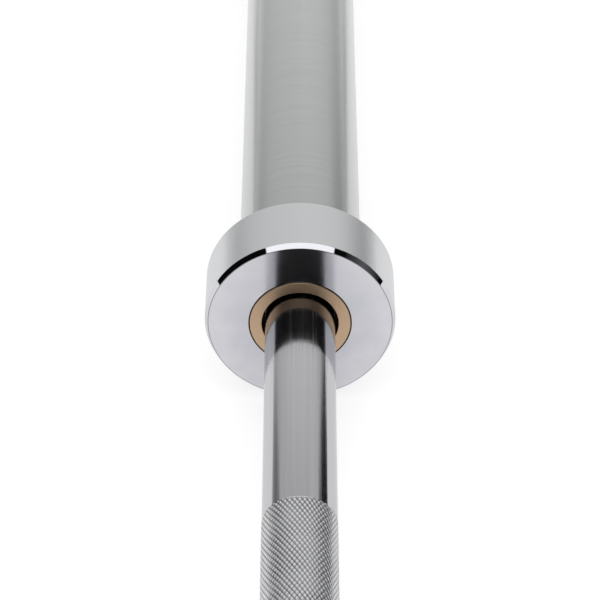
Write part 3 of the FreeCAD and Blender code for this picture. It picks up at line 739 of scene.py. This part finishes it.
# Rows are (cosine of the angle from straight ahead, level)
SKY = ((0.0, 0.8), (0.5, 0.62), (0.72, 0.57), (0.755, 0.645), (0.772, 0.84), (0.785, 0.92),
       (0.82, 0.92), (0.87, 0.95), (1.0, 1.0))
world = bpy.data.worlds.new("studio")
bpy.context.scene.world = world
world.use_nodes = True
tree = world.node_tree
tree.nodes.clear()
place = add(tree, "ShaderNodeTexCoord")
ahead = add(tree, "ShaderNodeSeparateXYZ", {0: place.outputs["Generated"]})
ramp = add(tree, "ShaderNodeValToRGB", {"Fac": ahead.outputs["X"]})
stops = ramp.color_ramp.elements
while len(stops) < len(SKY):
    stops.new(1.0)
for stop, (at, level) in zip(stops, SKY):
    stop.position = at
    stop.color = (level, level, level, 1.0)
backdrop = add(tree, "ShaderNodeMapRange", {"Value": ahead.outputs["Z"], "From Min": BACKDROP_FROM,
                                            "From Max": BACKDROP_TO, "To Min": 1.0, "To Max": 0.0})
brighter = add(tree, "ShaderNodeMath", {0: ramp.outputs["Color"], 1: backdrop.outputs[0]},
               operation="MAXIMUM")
light = add(tree, "ShaderNodeBackground", {"Color": brighter.outputs[0]})
add(tree, "ShaderNodeOutputWorld", {"Surface": light.outputs[0]})

# Cards: dark cloth and pale panels for the chrome to reflect, stood in two rings round the collar.
# Only the reflections show them, and they throw no light on the floor.
BEHIND = 7000.0
IN_FRONT = 6500.0
BLACK = 0.004

# Rows are (name, distance, bearings, heights, level at the foot, level at the top, share aside)
CARDS = (
    ("cloth_sides_and_back", BEHIND, (-122, 122), (-0.3, 56), BLACK, BLACK, 1.0),
    ("panel_ahead_left", BEHIND, (-180, -122), (-0.3, 35.5), 0.66, 0.88, 0.78),
    ("panel_ahead_right", BEHIND, (122, 180), (-0.3, 35.5), 0.6, 0.95, 0.78),
    ("cloth_ahead_right", IN_FRONT, (122, 141.7), (1, 24), BLACK, BLACK, 1.0),
    ("cloth_on_floor_right", IN_FRONT, (88, 139.8), (-1.5, 1), BLACK, BLACK, 1.0),
    ("cloth_on_floor_left", IN_FRONT, (-122, -88), (-1.6, -0.3), BLACK, BLACK, 1.0),
    ("cloth_ahead_left_low", IN_FRONT, (-140.6, -122), (-1.5, 6), 0.5, 0.2, 1.0),
    ("cloth_ahead_left_high", IN_FRONT, (-140.6, -122), (6, 20), 0.2, 0.2, 1.0),
    ("sheen_right_low", IN_FRONT, (88, 122), (3, 24), 0.02, 0.14, 1.0),
    ("sheen_right_high", IN_FRONT, (88, 122), (24, 44), 0.14, 0.02, 1.0),
)
CARD_X = COLLAR_FRONT
CARD_FLOOR = FLOOR_Z + 1.0
CARD_STEPS = 24
ASIDE_FROM = 0.755
ASIDE_TO = 0.785
HORIZON = math.radians(0.1)


def card(name, distance, bearings, heights, low, high, aside):
    """A patch of a sphere round the collar: the angle from -X round to -Y by the height above the
    horizon, both in degrees. Below the horizon it lies on the floor, at a distance of the floor's
    depth over the sine of the height. Its light goes from low to high with height, and down to the
    share aside where the cosine of the angle from straight ahead falls from ASIDE_TO to ASIDE_FROM."""
    bearing, height = np.meshgrid(np.radians(np.linspace(*bearings, CARD_STEPS)),
                                  np.radians(np.linspace(*heights, CARD_STEPS)))
    reach = np.minimum(distance, -CARD_FLOOR / np.sin(np.maximum(-height, HORIZON)))
    points = reach[..., None] * np.stack((-np.cos(bearing) * np.cos(height),
                                          -np.sin(bearing) * np.cos(height), np.sin(height)), axis=2)
    points = points.reshape(-1, 3) + np.array((CARD_X, 0, 0))
    step = np.arange(CARD_STEPS - 1)
    corner = (step[:, None] * CARD_STEPS + step[None, :]).reshape(-1)
    faces = np.stack((corner, corner + 1, corner + CARD_STEPS + 1, corner + CARD_STEPS), axis=1)
    sheet = piece_of(name, points, faces.tolist())
    cloth, tree, output = finish_named(name)
    place = add(tree, "ShaderNodeTexCoord")
    spot = add(tree, "ShaderNodeSeparateXYZ", {0: place.outputs["Object"]})
    foot, top = (distance * MM * math.sin(math.radians(angle)) for angle in heights)
    fade = add(tree, "ShaderNodeMapRange", {"Value": spot.outputs["Z"], "From Min": foot,
                                            "From Max": top, "To Min": low, "To Max": high})
    turn = add(tree, "ShaderNodeMapRange", {
        "Value": spot.outputs["X"], "From Min": (CARD_X + distance * ASIDE_FROM) * MM,
        "From Max": (CARD_X + distance * ASIDE_TO) * MM, "To Min": aside})
    level = add(tree, "ShaderNodeMath", {0: fade.outputs[0], 1: turn.outputs[0]}, operation="MULTIPLY")
    glow = add(tree, "ShaderNodeEmission", {"Strength": level.outputs[0]})
    tree.links.new(glow.outputs[0], output.inputs[0])
    sheet.data.materials.append(cloth)
    sheet.visible_camera = False
    sheet.visible_shadow = False
    sheet.visible_diffuse = False


for row in CARDS:
    card(*row)

# Soft box: a panel of light under the ceiling, over the camera and the collar. It lights the floor
# and gives the bar its soft shadow.
SOFT_BOX_X = (-1595, 1555)
SOFT_BOX_Y = (-1950, 1950)
SOFT_BOX_HEIGHT = 3000
SOFT_BOX_LEVEL = 1.5


def flat_panel(name, x_span, y_span, height, level):
    """A level rectangle of light between two values of x and two of y. The camera looks through it."""
    back, front = x_span
    right, left = y_span
    corners = np.array([(back, right, height), (front, right, height),
                        (front, left, height), (back, left, height)])
    panel = piece_of(name, corners, [(0, 1, 2, 3)])
    lit, tree, output = finish_named(name)
    glow = add(tree, "ShaderNodeEmission", {"Strength": level})
    tree.links.new(glow.outputs[0], output.inputs[0])
    panel.data.materials.append(lit)
    panel.visible_camera = False
    panel.visible_shadow = False
    return panel


flat_panel("soft_box", SOFT_BOX_X, SOFT_BOX_Y, SOFT_BOX_HEIGHT, SOFT_BOX_LEVEL)

# Grey paper on the floor beyond the bar's end, which gives the sleeve its two darker bands.
# Rows are (name, span of x, span of y, level)
GREY_PAPER = (
    ("left", (1050, 2300), (150, 300), 0.6),
    ("right", (1050, 2300), (-300, -150), 0.56),
    ("near_left", (1110, 1330), (300, 430), 0.3),
    ("near_right", (1110, 1330), (-430, -300), 0.15),
)
for name, x_span, y_span, level in GREY_PAPER:
    paper = flat_panel("grey_paper_" + name, x_span, y_span, CARD_FLOOR, level)
    paper.visible_diffuse = False

# Camera: over the grip, looking along the bar and down on the right collar, with the tilt and lens
# that were fitted to the collar's outline in the photograph
CAMERA_AT = (-187.7, 0.06, 650.2)
CAMERA_DOWN = 37.146
CAMERA_ROLL = 0.1
CAMERA_LENS = 159.67
CAMERA_SENSOR = 36.0
CAMERA_SIGHT = 100000.0
camera = bpy.data.objects.new("camera", bpy.data.cameras.new("camera"))
camera.data.sensor_width = CAMERA_SENSOR
camera.data.lens = CAMERA_LENS
camera.data.clip_end = CAMERA_SIGHT * MM
camera.matrix_world = (Matrix.Translation([MM * part for part in CAMERA_AT])
                       @ Matrix.Rotation(math.radians(-90), 4, "Z")
                       @ Matrix.Rotation(math.radians(90 - CAMERA_DOWN), 4, "X")
                       @ Matrix.Rotation(math.radians(CAMERA_ROLL), 4, "Z"))
bpy.context.scene.collection.objects.link(camera)
bpy.context.scene.camera = camera
bpy.context.scene.view_settings.view_transform = "Standard"
